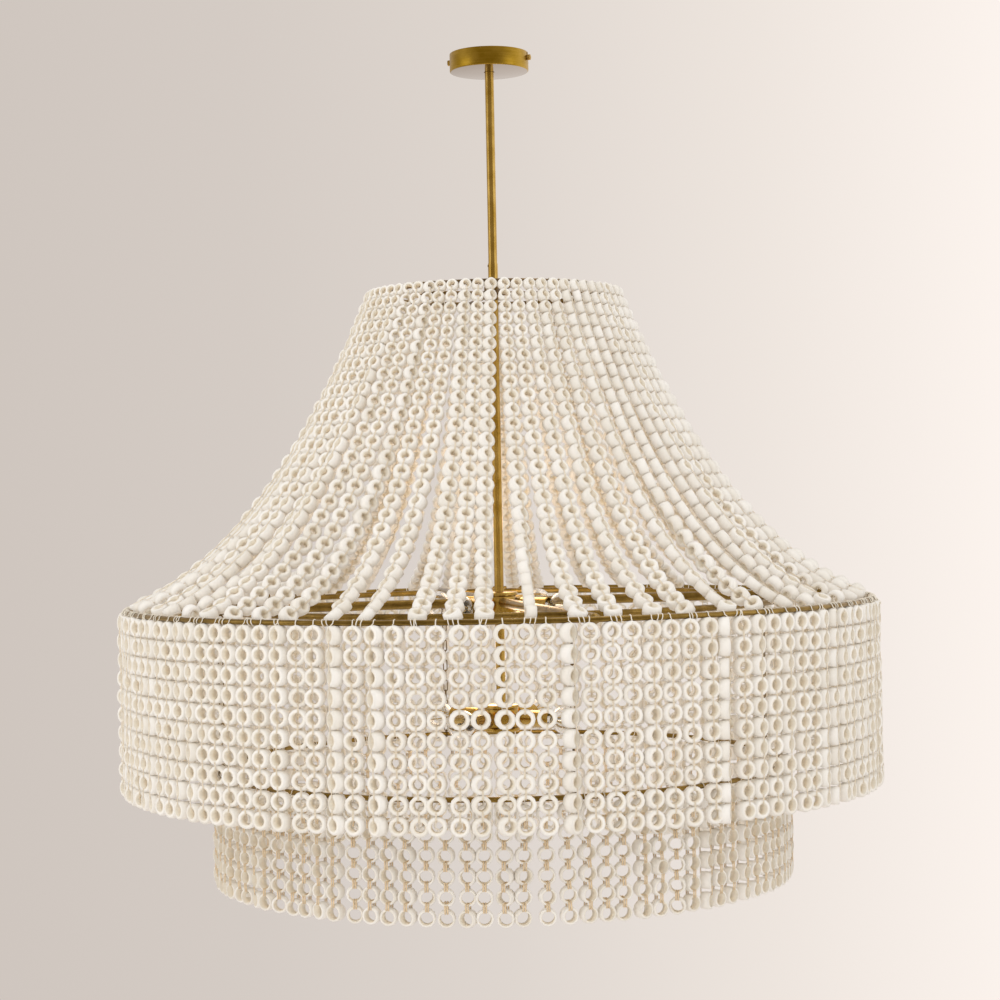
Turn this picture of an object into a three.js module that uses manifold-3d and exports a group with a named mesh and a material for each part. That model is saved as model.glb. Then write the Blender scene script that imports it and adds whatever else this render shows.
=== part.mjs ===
// Beaded chandelier: a brass rod and ring frame with three curtains of ring beads.
// Millimetres, +Z up. The origin is on the rod's axis, in the plane of the ceiling.
// An azimuth is measured from the front (-Y) towards the right (+X), in degrees.

import * as THREE from 'three';
import { mergeGeometries, mergeVertices } from 'three/addons/utils/BufferGeometryUtils.js';
import Module from 'manifold-3d';

const wasm = await Module();
wasm.setup();

// Driving dimensions, in millimetres

const clearance = 0.3;            // air between two pieces that touch on the real lamp
const overrun = 2;                // how far a cutting tool runs past what it cuts

const canopyRadius = 63.5;        // five inch ceiling cup
const canopyHeight = 29;
const canopyWall = 1.2;
const canopyEdge = 2.2;           // rounded lower edge of the cup
const canopyHoleGap = 1;          // air round the rod where it leaves the cup
const slotGap = 0.6;              // air round a side screw in its slot

const bracketWidth = 20;
const bracketSheet = 2.4;
const bracketEarDrop = 16;
const bracketEarGap = 0.6;        // air between an ear and the cup's wall
const bracketScrewSpacing = 70;   // distance between the two screws into the ceiling box
const ceilingScrewRadius = 2;
const ceilingScrewHeadRadius = 4;
const ceilingScrewHeadHeight = 2.6;

const sideScrewDrop = 9.7;        // height of the side screws below the ceiling
const sideScrewHeadRadius = 4.5;
const sideScrewHeadLength = 5.2;
const sideScrewShankRadius = 1.8;
const sideScrewTipReach = 3;      // how far the screw's tip stands inside the ear
const knurlDepth = 0.4;

const rodRadius = 7.6;
const rodThreadRadius = 4.8;      // threaded upper end of the rod
const rodShoulderDrop = 15;       // where the rod's full diameter starts, below the ceiling
const nutAcross = 14;             // lock nut, across its flats
const nutHeight = 5;

const topRingRadius = 188;
const topRingDrop = 386;
const topRingTube = 4;            // radius of the ring's tube
const topHubRadius = 15;
const topHubHeight = 22;
const topArmRadius = 3.5;

const mainRingRadius = 593;
const mainRingDrop = 884;
const mainRingTube = 4;
const innerRingRadius = 449;
const innerRingTube = 5;
const spokeNoseRadius = 4;        // each spoke ends in a slim turned nose at the main ring
const spokeNoseLength = 8.5;
const spokeShoulderLength = 4;

const hubRadius = 27;
const hubHeight = 30;
const hubEdge = 1.5;
const hubCapRadius = 29.5;
const hubCapHeight = 6;
const upperHubOffset = 5;         // middle of the upper hub, below the plane of the main ring
const hubSpacing = 181;           // between the middles of the two hubs
const capNutRadius = 8;
const capNutHeight = 10;

const holderStemRadius = 6;
const holderStemLength = 16;
const holderRadius = 14;
const holderWall = 1.6;
const holderLength = 50;
const holderDepth = 30;           // depth of the cup that takes the bulb
const bulbGlobeRadius = 22.5;
const bulbNeckRadius = 9.5;
const bulbCapRadius = 7;
const bulbCapLength = 24;
const bulbLength = 78;

const lowerRingRadius = 449;
const tierSpacing = 257;          // between the planes of the main ring and the lower ring
const lowerRingTube = 4;

const chainWire = 0.9;            // radius of the links' wire
const chainLinkWidth = 6.6;       // between the middles of a link's two sides
const chainEyeRadius = 4.4;       // middle of the wire of the eye below a spoke
const chainEyeWire = 1.2;
const chainEndSlack = 1.5;        // air round the lower ring's tube inside the last link
const chainBite = 0.3;            // how far two links that pull on each other are joined
const eyeSink = 0.8;              // how far an eye is welded into its spoke

const beadDiameter = 25.2;
const beadLength = 16;            // along the bead's own hole
const swagBeadDiameterTop = 18.5;
const swagGradedShare = 0.5;      // share of a strand over which its beads grow to full size
const swagSlack = 19;             // spare length of a strand over the straight way between rings
const skirtRadialOffset = 2.5;    // strands hang a little outside the ring's middle
const upperSkirtHeight = 282;
const lowerSkirtHeight = 174.5;
const strandShoulder = 7;         // from the top of a strand's first bead to its full width
const threadWidth = 2.4;          // the doubled thread, where it is looped round a ring
const threadSink = 0.6;           // how far the loop is joined into the ring

// Counts and directions

const swagStrands = 64;
const upperSkirtStrands = 128;
const lowerSkirtStrands = 100;
const swagSteps = 6;
const spokes = 4;
const chainLinks = 13;
const spokeAzimuth = 13;
const lampAzimuth = 58;
const screwAzimuth = 75;

// Numbers of flat sides that stand for round ones

const cupSides = 24;
const rodSides = 12;
const hubSides = 12;
const smallSides = 8;
const bulbSides = 8;
const tubeSides = 6;
const mainRingSides = 64;
const innerArcSides = 10;
const lowerRingSides = 52;
const topRingSides = 32;
const linkSides = 4;
const knurlTeeth = 9;

// Finishes

const brass = new THREE.MeshStandardMaterial({ color: 0xa9823f, roughness: 0.32, metalness: 1 });
const darkBrass = new THREE.MeshStandardMaterial({ color: 0x6f4f1c, roughness: 0.4, metalness: 1 });
const steel = new THREE.MeshStandardMaterial({ color: 0x9a9a98, roughness: 0.45, metalness: 1 });
const beadFinish = new THREE.MeshStandardMaterial({ color: 0xeadfcd, roughness: 0.55, metalness: 0 });
const glass = new THREE.MeshStandardMaterial({
  color: 0xf4f2ee, roughness: 0.05, metalness: 0, transparent: true, opacity: 0.35,
});

// Helpers

const radians = THREE.MathUtils.degToRad;
const lamp = new THREE.Group();

function place(name, geometry, material, azimuth = 0) {
  const mesh = new THREE.Mesh(geometry, material);
  mesh.name = name;
  mesh.rotation.z = radians(azimuth);
  lamp.add(mesh);
  return mesh;
}

// A round piece about the Z axis; each point of its outline is [radius, height].
function turned(outline, sides) {
  const points = outline.map(([radius, height]) => new THREE.Vector2(radius, height));
  return new THREE.LatheGeometry(points, sides).rotateX(Math.PI / 2);
}

// The same, lying along the radius at the front; each point is [radius, distance from the axis].
function turnedOutwards(outline, sides, drop) {
  const points = outline.map(([radius, reach]) => new THREE.Vector2(radius, reach));
  return new THREE.LatheGeometry(points, sides).rotateX(Math.PI).translate(0, 0, -drop);
}

// A hoop of round tube about the Z axis; flatTowards says which way a flat side of the tube faces,
// in degrees above the direction away from the axis.
function hoop(radius, tube, sides, drop, flatTowards) {
  const corners = Array.from({ length: tubeSides + 1 }, (_, k) => {
    const turn = radians(flatTowards) + ((k + 0.5) * 2 * Math.PI) / tubeSides;
    return [radius + tube * Math.cos(turn), tube * Math.sin(turn)];
  });
  return turned(corners, sides).translate(0, 0, -drop);
}

// How far the flat sides of a faceted tube lie from its middle.
const tubeFlat = (tube) => tube * Math.cos(Math.PI / tubeSides);

function turnedCopies(geometry, azimuths) {
  return mergeGeometries(azimuths.map((azimuth) => geometry.clone().rotateZ(radians(azimuth))));
}

function bareGeometry(geometry) {
  const bare = geometry.clone();
  bare.deleteAttribute('normal');
  bare.deleteAttribute('uv');
  return mergeVertices(bare);
}

function asSolid(geometry) {
  const bare = bareGeometry(geometry);
  return new wasm.Manifold(new wasm.Mesh({
    numProp: 3,
    vertProperties: new Float32Array(bare.attributes.position.array),
    triVerts: new Uint32Array(bare.index.array),
  }));
}

function asGeometry(solid) {
  const mesh = solid.getMesh();
  const geometry = new THREE.BufferGeometry();
  geometry.setAttribute('position', new THREE.BufferAttribute(mesh.vertProperties, 3));
  geometry.setIndex(new THREE.BufferAttribute(mesh.triVerts, 1));
  return geometry;
}

function cut(geometry, ...tools) {
  return asGeometry(tools.reduce((solid, tool) => solid.subtract(asSolid(tool)), asSolid(geometry)));
}

function join(geometry, ...others) {
  return asGeometry(others.reduce((solid, other) => solid.add(asSolid(other)), asSolid(geometry)));
}

// A closed skin over a row of sections that all have the same number of corners.
function loft(sections) {
  const corners = sections[0].length;
  const positions = sections.flat().flatMap((point) => point.toArray());
  const index = [];
  for (let step = 0; step + 1 < sections.length; step += 1) {
    for (let corner = 0; corner < corners; corner += 1) {
      const next = (corner + 1) % corners;
      const here = step * corners;
      const there = here + corners;
      index.push(here + corner, here + next, there + next);
      index.push(here + corner, there + next, there + corner);
    }
  }
  const last = (sections.length - 1) * corners;
  for (let corner = 1; corner + 1 < corners; corner += 1) {
    index.push(0, corner + 1, corner);
    index.push(last, last + corner, last + corner + 1);
  }
  const geometry = new THREE.BufferGeometry();
  geometry.setAttribute('position', new THREE.Float32BufferAttribute(positions, 3));
  geometry.setIndex(index);
  return geometry;
}

// Directions of the strands, counted from a spoke: they straddle it, so that none hangs on it.
function strandAzimuths(count, sector) {
  const pitch = 360 / count;
  const share = count / spokes;
  return Array.from({ length: share }, (_, k) => (sector * share + k + 0.5) * pitch);
}

const sectors = [0, 1, 2, 3];
const quarterTurn = 360 / spokes;

// Ceiling bracket: a strip with two ears turned down, which take the side screws

const cupInside = (canopyRadius - canopyWall) * Math.cos(Math.PI / cupSides);
const bracketHalf = Math.sqrt((cupInside - bracketEarGap) ** 2 - (bracketWidth / 2) ** 2);

function ceilingBracket() {
  const outline = new THREE.Shape();
  outline.moveTo(-bracketHalf, 0);
  outline.lineTo(-bracketHalf, -bracketEarDrop);
  outline.lineTo(-bracketHalf + bracketSheet, -bracketEarDrop);
  outline.lineTo(-bracketHalf + bracketSheet, -bracketSheet);
  outline.lineTo(bracketHalf - bracketSheet, -bracketSheet);
  outline.lineTo(bracketHalf - bracketSheet, -bracketEarDrop);
  outline.lineTo(bracketHalf, -bracketEarDrop);
  outline.lineTo(bracketHalf, 0);
  const strip = new THREE.ExtrudeGeometry(outline, { depth: bracketWidth, bevelEnabled: false })
    .rotateX(Math.PI / 2).translate(0, bracketWidth / 2, 0);
  const rodHole = new THREE.CylinderGeometry(
    rodThreadRadius + clearance, rodThreadRadius + clearance, bracketSheet + 2 * overrun, rodSides,
  ).rotateX(Math.PI / 2).translate(0, 0, -bracketSheet / 2);
  const earHole = new THREE.CylinderGeometry(
    sideScrewShankRadius + clearance, sideScrewShankRadius + clearance,
    2 * bracketHalf + 2 * overrun, smallSides,
  ).rotateZ(Math.PI / 2).translate(0, 0, -sideScrewDrop);
  const screwHoles = [-1, 1].map((side) => new THREE.CylinderGeometry(
    ceilingScrewRadius + clearance, ceilingScrewRadius + clearance,
    bracketSheet + 2 * overrun, smallSides,
  ).rotateX(Math.PI / 2).translate(side * bracketScrewSpacing / 2, 0, -bracketSheet / 2));
  return cut(strip, rodHole, earHole, ...screwHoles);
}

// The strip lies along +X, which is azimuth 90.
const alongScrews = screwAzimuth - 90;

place('ceiling_bracket', ceilingBracket(), steel, alongScrews);

// Pan-head screws that hold the bracket: their shanks end level with the ceiling

function ceilingScrew(side) {
  const headTop = -bracketSheet - clearance;
  return turned([
    [0, headTop - ceilingScrewHeadHeight],
    [ceilingScrewHeadRadius - ceilingScrewHeadHeight / 2, headTop - ceilingScrewHeadHeight],
    [ceilingScrewHeadRadius, headTop - ceilingScrewHeadHeight / 2],
    [ceilingScrewHeadRadius, headTop],
    [ceilingScrewRadius, headTop],
    [ceilingScrewRadius, 0],
    [0, 0],
  ], smallSides).translate((side * bracketScrewSpacing) / 2, 0, 0);
}

place('ceiling_screw_1', ceilingScrew(1), steel, alongScrews);
place('ceiling_screw_2', ceilingScrew(-1), steel, alongScrews);

// Canopy: a spun cup with two slots, open at the rim, that drop over the side screws

function canopy() {
  const hole = rodRadius + canopyHoleGap;
  const inner = canopyRadius - canopyWall;
  const cup = turned([
    [hole, -canopyHeight],
    [canopyRadius - canopyEdge, -canopyHeight],
    [canopyRadius, -canopyHeight + canopyEdge],
    [canopyRadius, 0],
    [inner, 0],
    [inner, -canopyHeight + canopyWall],
    [hole, -canopyHeight + canopyWall],
    [hole, -canopyHeight],
  ], cupSides);
  const slotWidth = 2 * (sideScrewShankRadius + slotGap);
  const slotHeight = sideScrewDrop + slotWidth / 2;
  const slots = new THREE.BoxGeometry(
    2 * (canopyRadius + overrun), slotWidth, slotHeight + overrun,
  ).translate(0, 0, (overrun - slotHeight) / 2);
  return cut(cup.rotateZ(Math.PI / cupSides), slots);
}

place('canopy', canopy(), brass, alongScrews);

// Knurled side screw, lying along the radius

function sideScrew() {
  const head = new THREE.Shape();
  for (let tooth = 0; tooth < 2 * knurlTeeth; tooth += 1) {
    const angle = (tooth * Math.PI) / knurlTeeth;
    const radius = sideScrewHeadRadius - (tooth % 2) * knurlDepth;
    const x = radius * Math.cos(angle);
    const y = radius * Math.sin(angle);
    if (tooth === 0) head.moveTo(x, y); else head.lineTo(x, y);
  }
  head.closePath();
  const headStart = canopyRadius + clearance;
  const knob = new THREE.ExtrudeGeometry(head, { depth: sideScrewHeadLength, bevelEnabled: false })
    .rotateX(Math.PI / 2).translate(0, -headStart, -sideScrewDrop);
  const tip = bracketHalf - bracketSheet - sideScrewTipReach;
  const shank = turnedOutwards([
    [0, tip],
    [sideScrewShankRadius, tip],
    [sideScrewShankRadius, headStart + sideScrewHeadLength / 2],
    [0, headStart + sideScrewHeadLength / 2],
  ], smallSides, sideScrewDrop);
  return join(knob, shank);
}

place('canopy_screw_right', sideScrew(), brass, screwAzimuth);
place('canopy_screw_left', sideScrew(), brass, screwAzimuth + 180);

// Rod: three lengths of one tube, screwed into the hubs, the uppermost with a threaded end

const upperHubDrop = mainRingDrop + upperHubOffset;
const lowerHubDrop = upperHubDrop + hubSpacing;
const topHubTop = -topRingDrop + topHubHeight / 2;
const topHubBottom = topHubTop - topHubHeight;
const upperHubTop = -upperHubDrop + hubHeight / 2;
const upperHubBottom = upperHubTop - hubHeight;
const upperCapTop = upperHubTop + clearance + hubCapHeight;
const lowerHubTop = -lowerHubDrop + hubHeight / 2;
const lowerHubBottom = lowerHubTop - hubHeight;
const lowerCapTop = lowerHubTop + clearance + hubCapHeight;

place('rod_upper', turned([
  [0, topHubTop + clearance],
  [rodRadius, topHubTop + clearance],
  [rodRadius, -rodShoulderDrop],
  [rodThreadRadius, -rodShoulderDrop],
  [rodThreadRadius, 0],
  [0, 0],
], rodSides), brass);

place('rod_middle', turned([
  [0, upperCapTop + clearance],
  [rodRadius, upperCapTop + clearance],
  [rodRadius, topHubBottom - clearance],
  [0, topHubBottom - clearance],
], rodSides), brass);

place('rod_lower', turned([
  [0, lowerCapTop + clearance],
  [rodRadius, lowerCapTop + clearance],
  [rodRadius, upperHubBottom - clearance],
  [0, upperHubBottom - clearance],
], rodSides), brass);

function lockNut() {
  const outer = nutAcross / 2 / Math.cos(Math.PI / tubeSides);
  const top = -bracketSheet - clearance;
  const nut = new THREE.CylinderGeometry(outer, outer, nutHeight, tubeSides)
    .rotateX(Math.PI / 2).translate(0, 0, top - nutHeight / 2);
  const thread = new THREE.CylinderGeometry(
    rodThreadRadius + clearance, rodThreadRadius + clearance, nutHeight + 2 * overrun, rodSides,
  ).rotateX(Math.PI / 2).translate(0, 0, top - nutHeight / 2);
  return cut(nut, thread);
}

place('rod_lock_nut', lockNut(), steel);

// Top hub and its four slim arms, which reach the top ring

function hubOutline(radius, top, bottom) {
  return [
    [0, bottom],
    [radius - hubEdge, bottom],
    [radius, bottom + hubEdge],
    [radius, top - hubEdge],
    [radius - hubEdge, top],
    [0, top],
  ];
}

place('top_hub', turned(hubOutline(topHubRadius, topHubTop, topHubBottom), rodSides), darkBrass);

const topArmEnd = (topRingRadius - tubeFlat(topRingTube)) * Math.cos(Math.PI / topRingSides)
  - clearance;

function topArm() {
  return turnedOutwards([
    [0, topHubRadius + clearance],
    [topArmRadius, topHubRadius + clearance],
    [topArmRadius, topArmEnd],
    [0, topArmEnd],
  ], smallSides, topRingDrop);
}

sectors.forEach((sector) => {
  place(`top_arm_${sector + 1}`, topArm(), darkBrass, spokeAzimuth + sector * quarterTurn);
});

// Upper hub with its cap, four spokes and the inner ring

function capPlate(top) {
  return turned(hubOutline(hubCapRadius, top, top - hubCapHeight), hubSides);
}

place('upper_hub', turned(hubOutline(hubRadius, upperHubTop, upperHubBottom), hubSides), brass);
place('upper_hub_cap', capPlate(upperCapTop), brass);

const spokeEnd = mainRingRadius - mainRingTube - clearance;
const eyeDrop = mainRingDrop + rodRadius - eyeSink + chainEyeRadius + chainEyeWire;
const eyeBottom = -eyeDrop - chainEyeRadius;

// Each spoke is a tube with a turned nose, and the eye of a chain is welded below it.
function spoke() {
  const tube = turnedOutwards([
    [0, hubRadius + clearance],
    [rodRadius, hubRadius + clearance],
    [rodRadius, spokeEnd - spokeNoseLength - spokeShoulderLength],
    [spokeNoseRadius, spokeEnd - spokeNoseLength],
    [spokeNoseRadius, spokeEnd],
    [0, spokeEnd],
  ], rodSides, mainRingDrop);
  const eye = new THREE.TorusGeometry(chainEyeRadius, chainEyeWire, linkSides, smallSides)
    .rotateY(Math.PI / 2).translate(0, -lowerRingRadius, -eyeDrop);
  return join(tube, eye);
}

sectors.forEach((sector) => {
  place(`spoke_${sector + 1}`, spoke(), brass, spokeAzimuth + sector * quarterTurn);
});

// The inner ring is four arcs, each fitted between two spokes.
function innerArc() {
  const inset = Math.asin((rodRadius + clearance) / (innerRingRadius - innerRingTube));
  const sweep = radians(quarterTurn) - 2 * inset;
  return loft(Array.from({ length: innerArcSides + 1 }, (_, step) => {
    const azimuth = inset + (sweep * step) / innerArcSides;
    return Array.from({ length: tubeSides }, (_unused, corner) => {
      const turn = (-2 * Math.PI * corner) / tubeSides;
      const reach = innerRingRadius + innerRingTube * Math.cos(turn);
      return new THREE.Vector3(
        reach * Math.sin(azimuth),
        -reach * Math.cos(azimuth),
        -mainRingDrop + innerRingTube * Math.sin(turn),
      );
    });
  }));
}

sectors.forEach((sector) => {
  place(`inner_ring_${sector + 1}`, innerArc(), brass, spokeAzimuth + sector * quarterTurn);
});

// Lower hub with its cap above, and a cover plate and cap nut below

place('lower_hub', turned(hubOutline(hubRadius, lowerHubTop, lowerHubBottom), hubSides), brass);
place('lower_hub_cap', capPlate(lowerCapTop), brass);
place('lower_hub_cover', capPlate(lowerHubBottom - clearance), brass);

function capNut() {
  const top = lowerHubBottom - 2 * clearance - hubCapHeight;
  return turned([
    [0, top - capNutHeight],
    [capNutRadius / 2, top - capNutHeight],
    [capNutRadius, top - capNutHeight / 2],
    [capNutRadius, top],
    [0, top],
  ], smallSides);
}

place('hub_cap_nut', capNut(), brass);

// Lamp holders and bulbs: four round each hub, pointing outwards between the spokes

const holderStart = hubRadius + clearance;
const holderMouth = holderStart + holderStemLength + holderLength;
const holderFloor = holderMouth - holderDepth;

function holder(drop) {
  return turnedOutwards([
    [0, holderStart],
    [holderStemRadius, holderStart],
    [holderStemRadius, holderStart + holderStemLength],
    [holderRadius, holderStart + holderStemLength],
    [holderRadius, holderMouth],
    [holderRadius - holderWall, holderMouth],
    [holderRadius - holderWall, holderFloor],
    [0, holderFloor],
  ], smallSides, drop);
}

function bulb(drop) {
  const start = holderFloor + clearance;
  const middle = start + bulbLength - bulbGlobeRadius;
  const firstAngle = Math.PI - Math.asin(bulbNeckRadius / bulbGlobeRadius);
  const arcSteps = 4;
  const globe = Array.from({ length: arcSteps + 1 }, (_, k) => {
    const angle = firstAngle * (1 - k / arcSteps);
    return [bulbGlobeRadius * Math.sin(angle), middle + bulbGlobeRadius * Math.cos(angle)];
  });
  globe[arcSteps][0] = 0;
  return turnedOutwards([
    [0, start],
    [bulbCapRadius, start],
    [bulbCapRadius, start + bulbCapLength],
    ...globe,
  ], bulbSides, drop);
}

sectors.forEach((sector) => {
  const azimuth = lampAzimuth + sector * quarterTurn;
  place(`upper_holder_${sector + 1}`, holder(upperHubDrop), brass, azimuth);
  place(`upper_bulb_${sector + 1}`, bulb(upperHubDrop), glass, azimuth);
  place(`lower_holder_${sector + 1}`, holder(lowerHubDrop), brass, azimuth);
  place(`lower_bulb_${sector + 1}`, bulb(lowerHubDrop), glass, azimuth);
});

// Chains: oval links, each turned a quarter against the next, and a round one on the lower ring

const lowerRingDrop = mainRingDrop + tierSpacing;

function oval(span) {
  const bend = chainLinkWidth / 2;
  const link = new THREE.TorusGeometry(bend, chainWire, linkSides, tubeSides)
    .rotateZ(Math.PI / tubeSides);
  const position = link.attributes.position;
  const stretch = span / 2 - bend;
  for (let k = 0; k < position.count; k += 1) {
    position.setY(k, position.getY(k) + Math.sign(position.getY(k)) * stretch);
  }
  return link.rotateX(Math.PI / 2);
}

function chain() {
  const meet = 2 * chainWire - chainBite;
  const endRadius = lowerRingTube + chainEndSlack + chainWire;
  const endFlat = endRadius * Math.cos(Math.PI / smallSides);
  const endRest = chainWire + clearance + lowerRingTube;
  const firstTop = eyeBottom + chainEyeWire + chainWire + clearance;
  const drop = firstTop + lowerRingDrop + chainLinks * meet - 2 * endFlat + endRest;
  const span = drop / chainLinks;
  const links = Array.from({ length: chainLinks }, (_, k) => oval(span)
    .rotateZ((k % 2) * (Math.PI / 2))
    .translate(0, 0, firstTop - span / 2 - k * (span - meet)));
  const end = new THREE.TorusGeometry(endRadius, chainWire, linkSides, smallSides)
    .rotateZ(Math.PI / smallSides).rotateY(Math.PI / 2)
    .translate(0, 0, -lowerRingDrop - endRest + endFlat);
  return join(...links, end).translate(0, -lowerRingRadius, 0);
}

sectors.forEach((sector) => {
  place(`chain_${sector + 1}`, chain(), darkBrass, spokeAzimuth + sector * quarterTurn);
});

// Skirts: a ring with its strands. Each strand is a slim bar as wide and deep as its beads, flat
// outside and with a ridge inside, that narrows to the thread looped round the ring. The ridge
// leaves it about the volume of the hollow beads.

const barCorners = [[-1, -1], [1, -1], [0, 1]];

function barSection(middle, inwards, width, depth) {
  return barCorners.map(([side, face]) => middle.clone()
    .addScaledVector(inwards, (face * depth) / 2)
    .add(new THREE.Vector3((side * width) / 2, 0, 0)));
}

// The thread's section has the proportions of the bead's, so the shoulder between has flat sides.
function threadSection(middle, inwards, width) {
  return barSection(middle, inwards, threadWidth, (beadLength * threadWidth) / width);
}

function skirtStrand(ringRadius, ringBottom, height) {
  const inwards = new THREE.Vector3(0, 1, 0);
  const at = (reach, z) => new THREE.Vector3(0, -reach, z);
  const reach = ringRadius + skirtRadialOffset;
  return loft([
    barSection(at(reach, ringBottom - height), inwards, beadDiameter, beadLength),
    barSection(at(reach, ringBottom - strandShoulder), inwards, beadDiameter, beadLength),
    threadSection(at(ringRadius, ringBottom + threadSink), inwards, beadDiameter),
  ]);
}

function ringWithSkirt(radius, tube, sides, drop, strands, height) {
  const strand = skirtStrand(radius, -drop - tubeFlat(tube), height);
  const all = sectors.flatMap((sector) => strandAzimuths(strands, sector));
  return join(hoop(radius, tube, sides, drop, -90), turnedCopies(strand, all));
}

place('main_ring_skirt', ringWithSkirt(
  mainRingRadius, mainRingTube, mainRingSides, mainRingDrop, upperSkirtStrands, upperSkirtHeight,
), beadFinish, spokeAzimuth);
place('lower_ring_skirt', ringWithSkirt(
  lowerRingRadius, lowerRingTube, lowerRingSides, lowerRingDrop, lowerSkirtStrands, lowerSkirtHeight,
), beadFinish, spokeAzimuth);

// Swag strands: a chain of beads of a given length between two rings hangs in a catenary

function catenary(span, fall, length) {
  const stretched = Math.sqrt(length ** 2 - fall ** 2) / span;
  let low = 0;
  let high = 10;
  for (let k = 0; k < 60; k += 1) {
    const middle = (low + high) / 2;
    if (Math.sinh(middle) / middle < stretched) low = middle; else high = middle;
  }
  const scale = span / (low + high);
  const centre = Math.asinh(fall / (2 * scale * Math.sinh(span / (2 * scale))));
  const start = centre + span / (2 * scale);
  return (along) => {
    const here = Math.asinh(Math.sinh(start) - along / scale);
    return {
      reach: scale * (start - here),
      fall: scale * (Math.cosh(start) - Math.cosh(here)),
      slope: Math.sinh(here),
    };
  };
}

// The first bead of a strand lies against the outside of the top ring, tied to it, so the bar's
// ridge is joined into a flat side of the ring's tube.
const topRingOutside = (topRingRadius + tubeFlat(topRingTube)) * Math.cos(Math.PI / topRingSides);
const swagTopReach = topRingOutside - threadSink + beadLength / 2;

// A ring of straight sides is a little narrower midway along each side, where the strands end.
const mainRingSag = mainRingRadius * (1 - Math.cos(Math.PI / mainRingSides));

function swagStrand() {
  const span = mainRingRadius - swagTopReach;
  const fall = mainRingDrop - topRingDrop;
  const swagLength = Math.hypot(span, fall) + swagSlack;
  const hang = catenary(span, fall, swagLength);
  const middleAt = (at) => new THREE.Vector3(0, -swagTopReach - at.reach, -topRingDrop - at.fall);
  const inwardsAt = (at) => {
    const steep = Math.hypot(1, at.slope);
    return new THREE.Vector3(0, at.slope / steep, -1 / steep);
  };
  const widthAt = (along) => {
    const grown = Math.min(along / (swagGradedShare * swagLength), 1);
    return swagBeadDiameterTop + (beadDiameter - swagBeadDiameterTop) * grown;
  };
  const first = swagBeadDiameterTop;
  const last = swagLength - mainRingTube - mainRingSag - clearance;
  const body = Array.from({ length: swagSteps + 1 }, (_, k) => {
    const along = last + ((first - last) * k) / swagSteps;
    const at = hang(along);
    return barSection(middleAt(at), inwardsAt(at), widthAt(along), beadLength);
  });
  const level = new THREE.Vector3(0, 1, 0);
  return loft([...body, barSection(middleAt(hang(0)), level, widthAt(0), beadLength)]);
}

function ringWithSwag() {
  const all = sectors.flatMap((sector) => strandAzimuths(swagStrands, sector));
  const ring = hoop(topRingRadius, topRingTube, topRingSides, topRingDrop, 0);
  return join(ring, turnedCopies(swagStrand(), all));
}

place('top_ring_swag', ringWithSwag(), beadFinish, spokeAzimuth);

export default lamp;
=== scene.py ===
# %% [markdown]
# # A beaded chandelier
# The lamp hangs from the ceiling on a brass rod. Long strands of ring beads swoop from a small top
# ring to a wide main ring, one straight skirt of beads hangs below that ring, and a narrower skirt
# hangs inside it on four chains. All sizes come from a measured model of the lamp, which is loaded
# first. Its origin is on the rod, in the plane of the ceiling, with Z up and the front towards -Y.

# %% Load the measured model
import math
import random
from collections import namedtuple

import bmesh
import bpy
import numpy as np
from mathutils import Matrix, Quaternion, Vector


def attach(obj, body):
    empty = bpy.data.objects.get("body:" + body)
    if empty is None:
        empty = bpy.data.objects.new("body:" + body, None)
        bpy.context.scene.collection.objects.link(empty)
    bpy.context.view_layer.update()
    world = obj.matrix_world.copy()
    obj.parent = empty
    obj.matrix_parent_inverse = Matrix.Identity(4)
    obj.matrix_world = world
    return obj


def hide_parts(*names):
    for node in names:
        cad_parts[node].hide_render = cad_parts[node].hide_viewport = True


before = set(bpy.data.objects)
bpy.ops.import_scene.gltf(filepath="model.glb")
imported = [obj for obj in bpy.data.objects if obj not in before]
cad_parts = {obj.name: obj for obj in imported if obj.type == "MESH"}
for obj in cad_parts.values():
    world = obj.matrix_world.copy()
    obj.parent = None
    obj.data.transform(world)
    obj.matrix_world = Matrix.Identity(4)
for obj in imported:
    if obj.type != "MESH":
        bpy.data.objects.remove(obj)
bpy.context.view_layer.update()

# %% [markdown]
# ## The camera
# The picture was taken from straight ahead, a little below the middle of the lamp. The ellipses of
# the rings give the distance, about 3.4 m, and the frame of 1000 pixels then needs a long lens. The
# rod leans by about one degree in the picture, so the camera is rolled by as much.

# %% Place the camera
MM = 0.001
scene = bpy.context.scene
camera_data = bpy.data.cameras.new("camera")
camera_data.sensor_width = 36
camera_data.lens = 76.8
camera = bpy.data.objects.new("camera", camera_data)
scene.collection.objects.link(camera)
camera.location = (4 * MM, -3440 * MM, -731 * MM)
camera.rotation_euler = (math.radians(90.19), math.radians(1.1), 0)
scene.camera = camera
print("lens", camera_data.lens, "mm at", tuple(round(v, 3) for v in camera.location))

# %% [markdown]
# ## Sums of shader nodes
# A finish is a small calculation: where is this point, how blotchy is the metal there, so how dark
# is it. Nodes for that could be added one by one, but a sum is easier to read as a sum. This class
# stands for one output of a node, and a sum written with it adds the Math nodes that it needs.

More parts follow.
